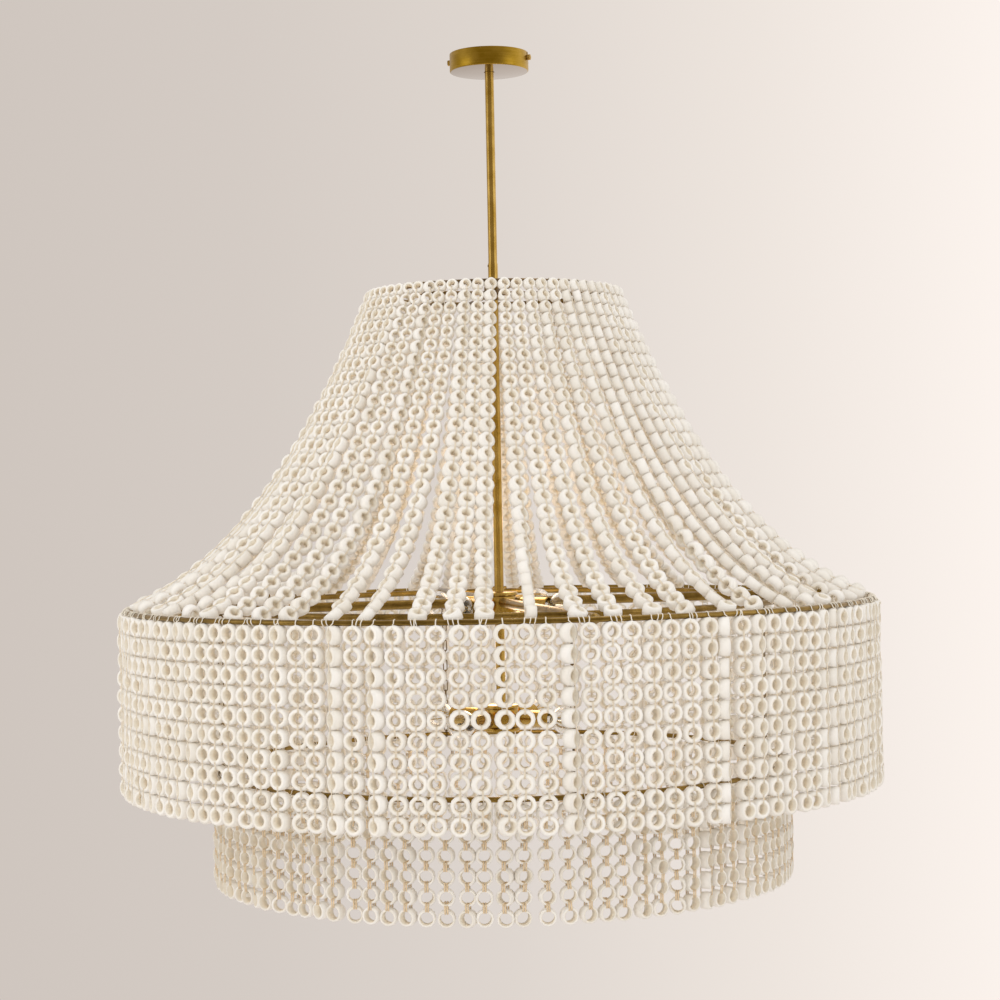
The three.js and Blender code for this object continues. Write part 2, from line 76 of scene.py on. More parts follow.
# %% A helper for shader sums
class Wire:
    def __init__(self, tree, output=None):
        self.tree = tree
        self.output = output

    def node(self, kind, settings=None, sockets=None, out=0):
        """Adds a node: its settings first, then the values or links of its sockets."""
        made = self.tree.nodes.new(kind)
        for key, value in (settings or {}).items():
            if key == "stops":
                ramp = made.color_ramp.elements
                while len(ramp) < len(value):
                    ramp.new(0.5)
                for stop, (position, colour) in zip(ramp, value):
                    stop.position = position
                    stop.color = colour
            else:
                setattr(made, key, value)
        for key, value in (sockets or {}).items():
            if isinstance(value, Wire):
                self.tree.links.new(value.output, made.inputs[key])
            else:
                made.inputs[key].default_value = value
        return Wire(self.tree, made.outputs[out] if made.outputs else None)

    def maths(self, operation, *values):
        return self.node("ShaderNodeMath", {"operation": operation}, dict(enumerate(values)))

    def __add__(self, other):
        return self.maths("ADD", self, other)

    __radd__ = __add__

    def __rsub__(self, other):
        return self.maths("SUBTRACT", other, self)

    def __mul__(self, other):
        return self.maths("MULTIPLY", self, other)

    def __pow__(self, power):
        return self.maths("POWER", self, power)

    def between(self, low, high):
        """The colour that lies this far from the low one to the high one."""
        return self.node("ShaderNodeMix", {"data_type": "RGBA"}, {0: self, 6: low, 7: high}, out=2)

    def spread(self, low, high):
        """Stretches the values from low to high over 0 to 1, and stops there."""
        return self.node("ShaderNodeMapRange", {"clamp": True},
                         {"Value": self, "From Min": low, "From Max": high})


print("shader sums ready")

# %% [markdown]
# ## The studio
# The wall behind the lamp goes from pinkish grey on the left to cream on the right. It is only a
# picture: a Light Path node shows it to the camera and to reflections, while a plain pale world
# lights the beads. So the wall keeps its colour however bright the lamps are. On the camera's side
# the room is dim and brown, which only the brass shows: it gives every tube a dark band between
# two light ones.

# %% The wall behind the lamp and the fill light
world = bpy.data.worlds.new("studio")
scene.world = world
world.use_nodes = True
world.node_tree.nodes.clear()
room = Wire(world.node_tree)
direction = room.node("ShaderNodeTexCoord", out="Generated")
across = room.node("ShaderNodeSeparateXYZ", sockets={0: direction}, out="X").spread(-0.24, 0.24)
behind = room.node("ShaderNodeSeparateXYZ", sockets={0: direction}, out="Y").spread(-0.75, 0.05)
wall = room.node("ShaderNodeValToRGB", {"stops": [
    (0.0, (0.620, 0.560, 0.516, 1)), (0.26, (0.660, 0.600, 0.555, 1)),
    (0.5, (0.730, 0.668, 0.620, 1)), (0.75, (0.850, 0.782, 0.728, 1)),
    (1.0, (0.985, 0.912, 0.862, 1)),
]}, {0: across})
dim_room = (0.34, 0.28, 0.20, 1)
around = behind.between(dim_room, wall)
seen = room.node("ShaderNodeLightPath", out="Is Camera Ray")
glossy = room.node("ShaderNodeLightPath", out="Is Glossy Ray")
through = room.node("ShaderNodeLightPath", out="Is Transmission Ray")
shown = room.maths("MAXIMUM", seen, room.maths("MAXIMUM", glossy, through))
picture = room.node("ShaderNodeBackground", sockets={"Color": around, "Strength": 1.0})
pale = (1.0, 0.975, 0.95, 1)
fill = room.node("ShaderNodeBackground", sockets={"Color": pale, "Strength": 0.91})
mixed = room.node("ShaderNodeMixShader", sockets={0: shown, 1: fill, 2: picture})
room.node("ShaderNodeOutputWorld", sockets={"Surface": mixed})
scene.view_settings.view_transform = "Standard"
print("world nodes:", len(world.node_tree.nodes))

# %% [markdown]
# Wide lamps model the beads: the main one stands in front, softer ones at both sides and above.
# Wide lamps give soft shadows, and long soft highlights on the brass. The front one isn't mirrored
# in the brass, whose middle stays dark. Two small warm lamps behind the rod stand for the lit
# bulbs: their light fills the hollow of the curtains and shows peach between the strands.

# %% Place the lamps
def place_lamp(name, kind, place, power, colour):
    data = bpy.data.lights.new(name, kind)
    data.energy = power
    data.color = colour
    lamp = bpy.data.objects.new(name, data)
    lamp.location = place
    scene.collection.objects.link(lamp)
    print(name, power, "W at", place)
    return lamp


def soft_lamp(name, place, size, power, mirrored=True):
    """A wide lamp that faces the middle of the curtains."""
    lamp = place_lamp(name, "AREA", place, power, (1.0, 0.985, 0.965))
    lamp.data.size = size
    lamp.visible_glossy = mirrored
    towards = Vector((0, 0, -0.8)) - Vector(place)
    lamp.rotation_euler = towards.to_track_quat("-Z", "Y").to_euler()


soft_lamp("lamp_front_left", (-1.5, -3.6, 0.1), 2.8, 22, False)
soft_lamp("lamp_left", (-3.1, -1.1, -0.3), 1.8, 8)
soft_lamp("lamp_right", (2.9, -1.6, -0.4), 2.0, 8)
soft_lamp("lamp_above", (0.4, 0.3, 1.7), 1.6, 4)
for glow_height in (-0.76, -0.98):
    glow = place_lamp("warm_glow", "POINT", (0, 0.12, glow_height), 0.7, (1.0, 0.76, 0.52))
    glow.data.shadow_soft_size = 0.06

# %% [markdown]
# ## Working by hand, in code
# Every operator acts on what is selected, so each step starts with nothing selected. In edit mode
# the corners to work on are picked by their place, which is easier to follow than their numbers.

# %% Helpers for selecting
def start_fresh():
    if bpy.context.mode != "OBJECT":
        bpy.ops.object.mode_set(mode="OBJECT")
    bpy.ops.object.select_all(action="DESELECT")


def take(piece):
    """Selects one piece, and nothing else."""
    start_fresh()
    piece.select_set(True)
    bpy.context.view_layer.objects.active = piece


def pick(test):
    """In edit mode: selects the corners whose place passes the test."""
    bpy.ops.mesh.select_mode(type="VERT")
    bpy.ops.mesh.select_all(action="DESELECT")
    shape = bmesh.from_edit_mesh(bpy.context.edit_object.data)
    for corner in shape.verts:
        corner.select_set(bool(test(corner.co)))
    shape.select_flush_mode()
    bmesh.update_edit_mesh(bpy.context.edit_object.data)


print("selecting helpers ready")

# %% [markdown]
# ## Finishes
# All the finishes read Object coordinates, which are metres on the lamp itself, so a pattern has a
# real size and stays where it is when a piece moves.

# %% Start and end of a finish
def new_finish(name):
    """A new material, its nodes, and the place of the point that is shaded."""
    material = bpy.data.materials.new(name)
    material.use_nodes = True
    material.node_tree.nodes.clear()
    tree = Wire(material.node_tree)
    return material, tree, tree.node("ShaderNodeTexCoord", out="Object")


def complete(tree, sockets):
    shader = tree.node("ShaderNodeBsdfPrincipled", sockets=sockets)
    tree.node("ShaderNodeOutputMaterial", sockets={"Surface": shader})


def noise(tree, place, size, detail=2.0):
    """Blotches about as large as size, in millimetres."""
    return tree.node("ShaderNodeTexNoise", sockets={
        "Vector": place, "Scale": 1 / (size * MM), "Detail": detail, "Roughness": 0.55}, out="Fac")


def relief(tree, height, strength, deep):
    """A bump as deep as deep, in millimetres."""
    return tree.node("ShaderNodeBump", sockets={
        "Height": height, "Strength": strength, "Distance": deep * MM})


print("finish helpers ready")

# %% [markdown]
# ## The floor
# A pale floor lies far below the lamp, where a room's floor would be. It stays out of the picture
# and only shows from above, where its edge fades out. From below it is clear, so that it never
# lies like a veil before the lamp.

# %% Lay the floor
FLOOR_RADIUS, FADES_FROM, FLOOR_HEIGHT = 3.0, 1.6, -2.5
start_fresh()
bpy.ops.mesh.primitive_circle_add(vertices=96, radius=FLOOR_RADIUS, fill_type="NGON",
                                  location=(0, 0, FLOOR_HEIGHT))
floor = bpy.context.object
floor.name = "floor"
floor_finish, at, place = new_finish("pale_floor")
from_middle = at.node("ShaderNodeVectorMath", {"operation": "LENGTH"}, {0: place}, out=1)
matt = at.node("ShaderNodeBsdfDiffuse", sockets={"Color": (0.78, 0.72, 0.67, 1)})
nothing = at.node("ShaderNodeBsdfTransparent")
from_below = at.node("ShaderNodeNewGeometry", out="Backfacing")
clear = at.maths("MAXIMUM", from_middle.spread(FADES_FROM, FLOOR_RADIUS), from_below)
faded = at.node("ShaderNodeMixShader", sockets={0: clear, 1: matt, 2: nothing})
at.node("ShaderNodeOutputMaterial", sockets={"Surface": faded})
floor.data.materials.append(floor_finish)
print("floor at", floor.location.z)

# %% [markdown]
# ## Wood, brass, cord and glass
# The beads are rings of pale wood under a thin cream wash. The wash is uneven and each bead has a
# tone of its own. Inside the rings a warm tan is painted on: painted shade, as falls in the holes.
# Two numbers on each corner say which tone the bead has and whether the corner is inside the ring:
# the finish reads them as attributes.

# %% The cream wash
cream_wash, at, place = new_finish("cream_wash")
tone = at.node("ShaderNodeAttribute", {"attribute_name": "tone"}, out="Fac")
hollow = at.node("ShaderNodeAttribute", {"attribute_name": "hollow"}, out="Fac")
blotch = noise(at, place, 7.0, 3.0)
grain = noise(at, place, 0.9)
wash = (tone * 0.65 + blotch * 0.35).spread(0.2, 0.8)
washed = wash.between((0.860, 0.818, 0.745, 1), (0.930, 0.902, 0.855, 1))
# The tan colour below is painted shade: the warm shade inside the holes, strongest on the inner
# walls.
hole_shade = (blotch * 0.6 + grain * 0.4).spread(0.3, 0.7).between(
    (0.865, 0.775, 0.620, 1), (0.930, 0.870, 0.750, 1))
cream_colour = ((hollow ** 3) * 0.85).between(washed, hole_shade)
complete(at, {
    "Base Color": cream_colour,
    "Roughness": 0.42 + grain * 0.25,
    "Normal": relief(at, blotch * 0.7 + grain * 0.3, 0.35, 0.5),
})
print("cream wash:", len(cream_wash.node_tree.nodes), "nodes")

# %% [markdown]
# The brass is antique: a drawn tube that was darkened with acid and wiped back, so it has darker
# clouds, fine lines along the tube where it was rubbed, and small specks. Stretching the place with
# a Mapping node draws the clouds out into lines.

# %% Aged metals
def aged_metal(name, dark, light, roughness, lines):
    metal, at, place = new_finish(name)
    stretched = at.node("ShaderNodeMapping", sockets={"Vector": place, "Scale": lines})
    cloud = noise(at, place, 26.0, 4.0)
    rubbed = noise(at, stretched, 3.0, 2.0)
    speck = noise(at, place, 1.3)
    worn = (cloud * 0.55 + rubbed * 0.3 + speck * 0.15).spread(0.36, 0.62)
    complete(at, {
        "Base Color": worn.between(dark, light),
        "Metallic": 1.0,
        "Roughness": roughness + (1 - worn) * 0.1 + rubbed * 0.06,
        "Coat Weight": 0.35,
        "Coat Roughness": 0.12,
        "Normal": relief(at, rubbed * 0.8 + speck * 0.2, 0.06, 0.3),
    })
    print(name, "ready")
    return metal


upright_lines = (1.0, 1.0, 0.04)
level_lines = (0.05, 0.05, 1.0)
rod_brass = aged_metal("rod_brass", (0.40, 0.235, 0.020, 1), (0.62, 0.42, 0.110, 1), 0.17,
                       upright_lines)
# ring_brass and chain_brass are darker than rod_brass partly as painted shade: rings, spokes and
# chains are darkened to the tones they show in the lamp's shade, over the real patina's clouds.
ring_brass = aged_metal("ring_brass", (0.15, 0.088, 0.010, 1), (0.37, 0.240, 0.055, 1), 0.22,
                        level_lines)
dark_brass = aged_metal("dark_brass", (0.10, 0.060, 0.018, 1), (0.28, 0.175, 0.060, 1), 0.30,
                        level_lines)
chain_brass = aged_metal("chain_brass", (0.09, 0.052, 0.012, 1), (0.26, 0.165, 0.045, 1), 0.30,
                         upright_lines)
zinc = aged_metal("zinc", (0.36, 0.36, 0.35, 1), (0.62, 0.62, 0.60, 1), 0.34, level_lines)

# %% [markdown]
# The cup at the ceiling is turned from sheet. Its side is satin, with lines all round from the
# polishing, but its flat underside is polished like a mirror. It reflects the room, and its
# grey-mauve colour is painted reflection of the room as well. One finish does both: a mask that
# reads the height decides which.

# %% The cup's brass
cup_brass, at, place = new_finish("cup_brass")
height = at.node("ShaderNodeSeparateXYZ", sockets={0: place}, out="Z")
round_it = at.node("ShaderNodeMapping", sockets={"Vector": place, "Scale": (0.03, 0.03, 1.0)})
turned_lines = noise(at, round_it, 1.2, 3.0)
cloud = noise(at, place, 30.0, 3.0)
side_colour = (cloud * 0.6 + turned_lines * 0.4).spread(0.35, 0.65).between(
    (0.35, 0.210, 0.012, 1), (0.54, 0.35, 0.055, 1))
# The underside's grey-mauve base colour is painted reflection of the room.
underside = (height * (-1 / MM)).spread(28.7, 28.95)
complete(at, {
    "Base Color": underside.between(side_colour, (0.52, 0.46, 0.41, 1)),
    "Metallic": 1.0,
    "Roughness": (0.27 + turned_lines * 0.1) * (1 - underside) + underside * 0.05,
    "Normal": relief(at, turned_lines * (1 - underside), 0.10, 0.3),
})
print("cup brass ready")

# %% [markdown]
# Thread, glass and the wires in the bulbs are small in the picture, but each still has its own
# finish: the thread is a twisted waxed cord, and the glass has the faint waves of blown glass. The
# same number that gives a bead its tone says how far a tie has yellowed.

# %% Thread, glass and lamp wires
thread_finish, at, place = new_finish("thread")
yellowed = at.node("ShaderNodeAttribute", {"attribute_name": "tone"}, out="Fac")
twist = noise(at, place, 1.1, 1.0)
waxed = twist.spread(0.35, 0.65).between((0.80, 0.72, 0.58, 1), (0.92, 0.87, 0.77, 1))
complete(at, {
    "Base Color": yellowed.between(waxed, (0.80, 0.58, 0.32, 1)),
    "Roughness": 0.5 + twist * 0.3,
    "Normal": relief(at, twist, 0.4, 0.3),
})
clear_glass, at, place = new_finish("clear_glass")
wave = noise(at, place, 18.0, 1.0)
complete(at, {
    "Base Color": wave.between((0.97, 0.97, 0.96, 1), (1.0, 1.0, 1.0, 1)),
    "Roughness": wave * 0.02,
    "IOR": 1.45,
    "Transmission Weight": 1.0,
    "Normal": relief(at, wave, 0.05, 0.5),
})
filament_finish, at, place = new_finish("filament_coating")
dust = noise(at, place, 0.8)
complete(at, {
    "Base Color": dust.spread(0.3, 0.7).between((0.62, 0.40, 0.10, 1), (0.85, 0.66, 0.28, 1)),
    "Roughness": 0.5 + dust * 0.2,
})
print("thread, glass and filaments ready")

# %% [markdown]
# ## Turned pieces
# Cup, rods, hubs, holders and bulbs are all round. In a workshop they are turned, and here a circle
# is extruded and resized from one step of the outline to the next. Screw or Spin could sweep the
# outline in one go, but the steps keep the mesh tidy: one ring of corners for each step.

# %% A helper that turns an outline
CLOSE_BY = 1e-6


def turned(name, outline, sides, closed=False):
    """A round piece about Z; each step of the outline is [radius, height] in millimetres."""
    start_fresh()
    rings = [(radius * MM, height * MM) for radius, height in outline if radius > 0]
    (radius, height), rest = rings[0], rings[1:]
    bpy.ops.mesh.primitive_circle_add(vertices=sides, radius=radius, fill_type="NOTHING")
    piece = bpy.context.object
    piece.name = name
    bpy.ops.object.mode_set(mode="EDIT")
    bpy.ops.transform.translate(value=(0, 0, height))
    for next_radius, next_height in rest:
        bpy.ops.mesh.extrude_region_move(
            TRANSFORM_OT_translate={"value": (0, 0, next_height - height)})
        share = next_radius / radius
        bpy.ops.transform.resize(value=(share, share, 1), center_override=(0, 0, next_height))
        radius, height = next_radius, next_height
    if closed:
        bpy.ops.mesh.select_all(action="DESELECT")
        bpy.ops.mesh.select_mode(type="EDGE")
        bpy.ops.mesh.select_non_manifold()
        bpy.ops.mesh.bridge_edge_loops()
    if outline[-1][0] == 0:
        close_end(outline[-1][1] * MM - height)
    if outline[0][0] == 0:
        first_radius, first_height = rings[0]
        pick(lambda co: abs(co.z - first_height) < CLOSE_BY
             and abs(math.hypot(co.x, co.y) - first_radius) < CLOSE_BY)
        close_end(outline[0][1] * MM - first_height)
    bpy.ops.mesh.select_all(action="SELECT")
    bpy.ops.mesh.normals_make_consistent(inside=False)
    bpy.ops.object.mode_set(mode="OBJECT")
    bpy.ops.object.shade_smooth_by_angle(angle=math.radians(40))
    return piece


def close_end(rise):
    """Closes the selected ring: flat, or with a point that lies a little further on."""
    if abs(rise) < CLOSE_BY:
        bpy.ops.mesh.edge_face_add()
    else:
        bpy.ops.mesh.extrude_region_move(TRANSFORM_OT_translate={"value": (0, 0, rise)})
        bpy.ops.mesh.merge(type="CENTER")


print("turning helper ready")

# %% [markdown]
# Finished pieces keep their object at the origin, with their place in their mesh. So a piece that
# lies along a radius is turned and moved, and then that is applied. A copy gets a mesh of its own.

# %% Helpers that place, copy and join
def settle(piece):
    take(piece)
    bpy.ops.object.transform_apply(location=True, rotation=True, scale=True)
    return piece


def lay_outwards(piece, azimuth, height):
    """Turns a piece that stands on Z so that it points outwards, at a height in millimetres."""
    piece.rotation_euler = (math.radians(90), 0, math.radians(azimuth))
    piece.location = (0, 0, height * MM)
    return settle(piece)


def turn_round(piece, azimuth):
    piece.rotation_euler = (0, 0, math.radians(azimuth))
    return settle(piece)


def copy_of(piece, name):
    twin = piece.copy()
    twin.data = piece.data.copy()
    twin.name = name
    scene.collection.objects.link(twin)
    return twin


def joined(piece, *others):
    take(piece)
    for other in others:
        other.select_set(True)
    bpy.ops.object.join()
    return piece


def fit(piece, body, finish, slot, *nodes):
    """Gives a piece its finish and its body, and hides the measured pieces that it stands for."""
    piece.data.materials.clear()
    piece.data.materials.append(finish)
    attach(piece, body)
    if nodes:
        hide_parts(*nodes)


def outwards(azimuth, reach, height=0.0):
    """The point at an azimuth from the front, in millimetres from the rod and the ceiling."""
    turn = math.radians(azimuth)
    return Vector((reach * math.sin(turn), -reach * math.cos(turn), height)) * MM


print("placing helpers ready")

# %% Helpers for boxes, tori and cuts
def box(size, height):
    """A cuboid with its middle on the rod's axis, at a height in millimetres."""
    start_fresh()
    bpy.ops.mesh.primitive_cube_add(size=1, location=(0, 0, height * MM))
    cuboid = bpy.context.object
    cuboid.scale = [value * MM for value in size]
    return settle(cuboid)


def torus(radius, wire, around, across):
    """A level ring of wire, with its corners counted around the ring and across the wire."""
    start_fresh()
    bpy.ops.mesh.primitive_torus_add(major_segments=around, minor_segments=across,
                                     major_radius=radius * MM, minor_radius=wire * MM)
    return bpy.context.object


def cut_away(piece, cutter):
    """Takes the cutter's shape out of a piece."""
    take(piece)
    cut = piece.modifiers.new("cut", "BOOLEAN")
    cut.operation = "DIFFERENCE"
    cut.object = cutter
    bpy.ops.object.modifier_apply(modifier="cut")
    bpy.data.objects.remove(cutter)


print("shape helpers ready")

# %% [markdown]
# ## Sizes that several pieces share
# Sizes are in millimetres, with heights below the ceiling as negative numbers. Azimuths are in
# degrees from the front, towards the right. Arms, spokes, holders and chains come in fours, a
# quarter turn apart. The inner ring, the chains and the lower ring lie on one circle.

# %% Name the shared sizes
TOP_RADIUS, TOP_HEIGHT = 188, -386
MAIN_RADIUS, MAIN_HEIGHT = 593, -884
LOWER_RADIUS, LOWER_HEIGHT = 449, -1141
RING_TUBE = 4
FIRST_SPOKE = 13


def four_round(first):
    """Number and azimuth of each of four pieces."""
    return [(number, first + 90 * (number - 1)) for number in range(1, 5)]


print("spokes at", four_round(FIRST_SPOKE))

# %% [markdown]
# ## The cup, its bracket and its screws
# The cup covers the box in the ceiling. Inside it, a steel strip is screwed to the box, and its two
# turned-down ears take the knurled screws that hold the cup. The strip and its nut are right as
# measured, so they stay and only get the zinc finish.

# %% Make the cup
SCREW_AZIMUTH = 75
cup = turned("ceiling_cup", [
    [8.6, -29.0], [61.2, -29.0], [62.3, -28.75], [63.1, -28.1], [63.5, -27.0], [63.5, -0.5],
    [63.2, 0.0], [62.4, 0.0], [62.3, -0.3], [62.3, -27.0], [61.6, -27.8], [8.6, -27.8],
], 128, closed=True)
slots = turn_round(box((140, 4.8, 14.1), -5.05), SCREW_AZIMUTH - 90)
cut_away(cup, slots)
fit(cup, "canopy", cup_brass, "brass", "canopy")
print("cup:", len(cup.data.polygons), "faces")

# %% Make the two knurled screws
HEAD_RADIUS, HEAD_THICK, HEAD_REACH = 4.5, 5.2, 66.4
RIDGES, SCREW_HEIGHT = 36, -9.7


def knurled_screw(name):
    start_fresh()
    bpy.ops.mesh.primitive_cylinder_add(vertices=RIDGES, radius=HEAD_RADIUS * MM,
                                        depth=HEAD_THICK * MM, location=(0, 0, HEAD_REACH * MM))
    head = bpy.context.object
    head.name = name
    settle(head)
    bpy.ops.object.mode_set(mode="EDIT")
    pick(lambda co: round(math.degrees(math.atan2(co.y, co.x)) * RIDGES / 360) % 2 == 0)
    bpy.ops.transform.resize(value=(0.91, 0.91, 1), center_override=(0, 0, HEAD_REACH * MM))
    pick(lambda co: co.z > (HEAD_REACH + HEAD_THICK * 0.48) * MM)
    bpy.ops.mesh.inset(thickness=1.1 * MM, depth=0.35 * MM)
    bpy.ops.mesh.inset(thickness=0.5 * MM, depth=-0.5 * MM)
    bpy.ops.object.mode_set(mode="OBJECT")
    bpy.ops.object.shade_smooth_by_angle(angle=math.radians(20))
    shank = turned("shank", [[0, 55.6], [1.3, 55.6], [1.8, 56.4], [1.8, 64.2], [0, 64.2]], 20)
    return joined(head, shank)


for side, azimuth in (("right", SCREW_AZIMUTH), ("left", SCREW_AZIMUTH + 180)):
    side_screw = lay_outwards(knurled_screw(f"side_screw_{side}"), azimuth, SCREW_HEIGHT)
    fit(side_screw, f"canopy_screw_{side}", rod_brass, "brass", f"canopy_screw_{side}")
print("side screws made")

# %% [markdown]
# The screws into the ceiling are pan heads with a cross slot. The slot is cut with a small cross of
# two bars, which a Boolean modifier takes out of the head.

# %% Make the ceiling screws and finish the bracket
def ceiling_screw(name, side):
    screw = turned(name, [
        [0, -5.3], [2.2, -5.3], [3.3, -4.9], [3.9, -4.0], [4.0, -2.7], [2.0, -2.7], [2.0, 0],
        [0, 0],
    ], 32)
    for bar in ((4.2, 0.9, 2.4), (0.9, 4.2, 2.4)):
        cut_away(screw, box(bar, -5.4))
    screw.location.x = 35 * side * MM
    settle(screw)
    return turn_round(screw, SCREW_AZIMUTH - 90)


for number, side in ((1, 1), (2, -1)):
    fit(ceiling_screw(f"box_screw_{number}", side), "frame", zinc, "steel",
        f"ceiling_screw_{number}")
for node in ("ceiling_bracket", "rod_lock_nut"):
    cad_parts[node].material_slots[0].material = zinc
print("bracket, nut and ceiling screws finished")

# %% [markdown]
# ## The rod and its hubs
# Three lengths of one brass tube are screwed into the hubs. The first ends in a short sleeve, with
# a dark set screw at its left side. The hubs are turned drums with eased edges. The two that carry
# lamps have a thin cap plate above, and below the lowest one a cover plate and a domed nut close
# the lamp.

# %% Turn the rods
rods = {
    "rod_upper": [[0, -374.7], [7.5, -374.7], [7.9, -374.3], [7.9, -338.3], [7.6, -338.0],
                  [7.2, -337.9], [7.2, -15.3], [6.8, -15.0], [4.8, -15.0], [4.8, -0.4], [4.4, 0],
                  [0, 0]],
    "rod_middle": [[0, -867.4], [7.2, -867.4], [7.6, -867.0], [7.6, -397.7], [7.2, -397.3],
                   [0, -397.3]],
    "rod_lower": [[0, -1048.4], [7.2, -1048.4], [7.6, -1048.0], [7.6, -904.7], [7.2, -904.3],
                  [0, -904.3]],
}
for node, outline in rods.items():
    fit(turned(f"{node}_tube", outline, 48), "frame", rod_brass, "brass", node)
set_screw = turned("set_screw", [[0, 7.2], [1.9, 7.2], [1.9, 8.2], [1.6, 8.5], [0.9, 8.5],
                                 [0.9, 8.1], [0, 8.1]], 16)
fit(lay_outwards(set_screw, -80, -342), "frame", dark_brass, "dark_brass", "rod_upper")
print("rods:", len(rods))

# %% Turn the hubs
def drum(radius, top, bottom):
    """Outline of a drum with eased edges and a fine groove."""
    edge, eased, groove = 1.4, 1.4 * 0.3, 0.4
    groove_at = top - (top - bottom) / 3
    return [
        [0, bottom], [radius - edge, bottom], [radius - eased, bottom + eased],
        [radius, bottom + edge], [radius, groove_at - groove], [radius - groove, groove_at],
        [radius, groove_at + groove], [radius, top - edge], [radius - eased, top - eased],
        [radius - edge, top], [0, top],
    ]


def plate(top):
    """Outline of a thin plate whose edges are eased."""
    radius, edge, eased = 29.5, 1.2, 1.2 * 0.3
    bottom = top - 6.0
    return [
        [0, bottom], [radius - edge, bottom], [radius, bottom + edge], [radius, top - edge],
        [radius - eased, top - eased], [radius - edge, top], [0, top],
    ]


hubs = {
    "top_hub": (drum(15, -375, -397), dark_brass, "dark_brass"),
    "upper_hub": (drum(27, -874, -904), rod_brass, "brass"),
    "upper_hub_cap": (plate(-867.7), rod_brass, "brass"),
    "lower_hub": (drum(27, -1055, -1085), rod_brass, "brass"),
    "lower_hub_cap": (plate(-1048.7), rod_brass, "brass"),
    "lower_hub_cover": (plate(-1085.3), rod_brass, "brass"),
    "hub_cap_nut": ([[0, -1101.6], [2.5, -1101.3], [5.2, -1099.8], [7.2, -1097.2], [7.8, -1094.6],
                     [7.8, -1093.4], [8.0, -1093.2], [8.0, -1091.6], [0, -1091.6]],
                    rod_brass, "brass"),
}
for node, (outline, finish, slot) in hubs.items():
    fit(turned(f"{node}_turned", outline, 64), "frame", finish, slot, node)
print("hubs and plates:", len(hubs))

# %% [markdown]
# ## Arms and spokes
# Four slim arms hold the top ring. Four spokes of the rod's tube run from the upper hub to the main
# ring, each with a turned nose at its end and the small eye of a chain welded below it.

# %% Make the arms
arm = turned("arm", [
    [0, 15.3], [3.1, 15.3], [3.5, 15.7], [3.5, 182.9], [3.1, 183.3], [0, 183.3],
], 24)
for number, azimuth in four_round(FIRST_SPOKE):
    this = lay_outwards(copy_of(arm, f"ring_arm_{number}"), azimuth, TOP_HEIGHT)
    fit(this, "frame", dark_brass, "dark_brass", f"top_arm_{number}")
bpy.data.objects.remove(arm)
print("arms: 4")

# %% Make the spokes with their eyes
EYE_RADIUS, EYE_WIRE, EYE_HEIGHT = 4.4, 1.2, -896.4


def chain_eye(radius, wire, across, azimuth, height):
    """An upright ring on the circle of the chains, with its hole along that circle."""
    eye = torus(radius, wire, 28, across)
    eye.rotation_euler = (math.radians(90), 0, math.radians(azimuth - 90))
    eye.location = outwards(azimuth, LOWER_RADIUS, height)
    settle(eye)
    bpy.ops.object.shade_smooth()
    return eye


spoke = turned("spoke", [
    [0, 27.3], [7.2, 27.3], [7.6, 27.7], [7.6, 575.2], [7.4, 576.2], [6.2, 578.4], [4.6, 579.8],
    [4.0, 581.0], [4.0, 588.3], [3.6, 588.7], [0, 588.7],
], 40)
for number, azimuth in four_round(FIRST_SPOKE):
    tube = lay_outwards(copy_of(spoke, f"spoke_tube_{number}"), azimuth, MAIN_HEIGHT)
    eye = chain_eye(EYE_RADIUS, EYE_WIRE, 10, azimuth, EYE_HEIGHT)
    fit(joined(tube, eye), "frame", ring_brass, "brass", f"spoke_{number}")
bpy.data.objects.remove(spoke)
print("spokes: 4")

# %% [markdown]
# ## The rings
# The rings are bent from thin tube and closed with a fine butt joint, which shows as a narrow seam.
# A torus is the bent tube, and one of its rings of corners is drawn in a little for the seam.

# %% Bend the rings
RING_STEPS = 240


def bent_ring(name, radius, tube, height, seam):
    """A ring whose seam lies near the azimuth seam."""
    ring = torus(radius, tube, RING_STEPS, 14)
    ring.name = name
    ring.location.z = height * MM
    settle(ring)
    one_step = 2 * math.pi / RING_STEPS
    turn = round(math.radians(seam - 90) / one_step) * one_step
    middle = Vector((radius * math.cos(turn), radius * math.sin(turn), height)) * MM
    bpy.ops.object.mode_set(mode="EDIT")
    pick(lambda co: (co - middle).length < tube * 1.3 * MM)
    bpy.ops.transform.resize(value=(0.94, 0.94, 0.94), center_override=middle)
    bpy.ops.object.mode_set(mode="OBJECT")
    bpy.ops.object.shade_smooth()
    print(name, "seam at", seam, "degrees")
    return ring


fit(bent_ring("inner_ring_bent", LOWER_RADIUS, 5, MAIN_HEIGHT, 61), "frame", ring_brass, "brass",
    "inner_ring_1", "inner_ring_2", "inner_ring_3", "inner_ring_4")
fit(bent_ring("main_ring_bent", MAIN_RADIUS, RING_TUBE, MAIN_HEIGHT, -3), "frame", ring_brass,
    "brass", "main_ring_skirt")
fit(bent_ring("top_ring_bent", TOP_RADIUS, RING_TUBE, TOP_HEIGHT, 140), "frame", dark_brass,
    "dark_brass", "top_ring_swag")
fit(bent_ring("lower_ring_bent", LOWER_RADIUS, RING_TUBE, LOWER_HEIGHT, -30), "lower_tier",
    ring_brass, "brass", "lower_ring_skirt")

# %% [markdown]
# ## Lamp holders and bulbs
# Four holders point outwards from each hub, between the spokes. A holder is a plain brass cup on a
# stem. The bulb in it is clear: a blown globe with thin walls, a screw cap with a rolled thread, a
# glass stem, and four filaments that stand round it. Clear glass only looks right if its wall has a
# real thickness, so a Solidify modifier gives it 0.8 mm.

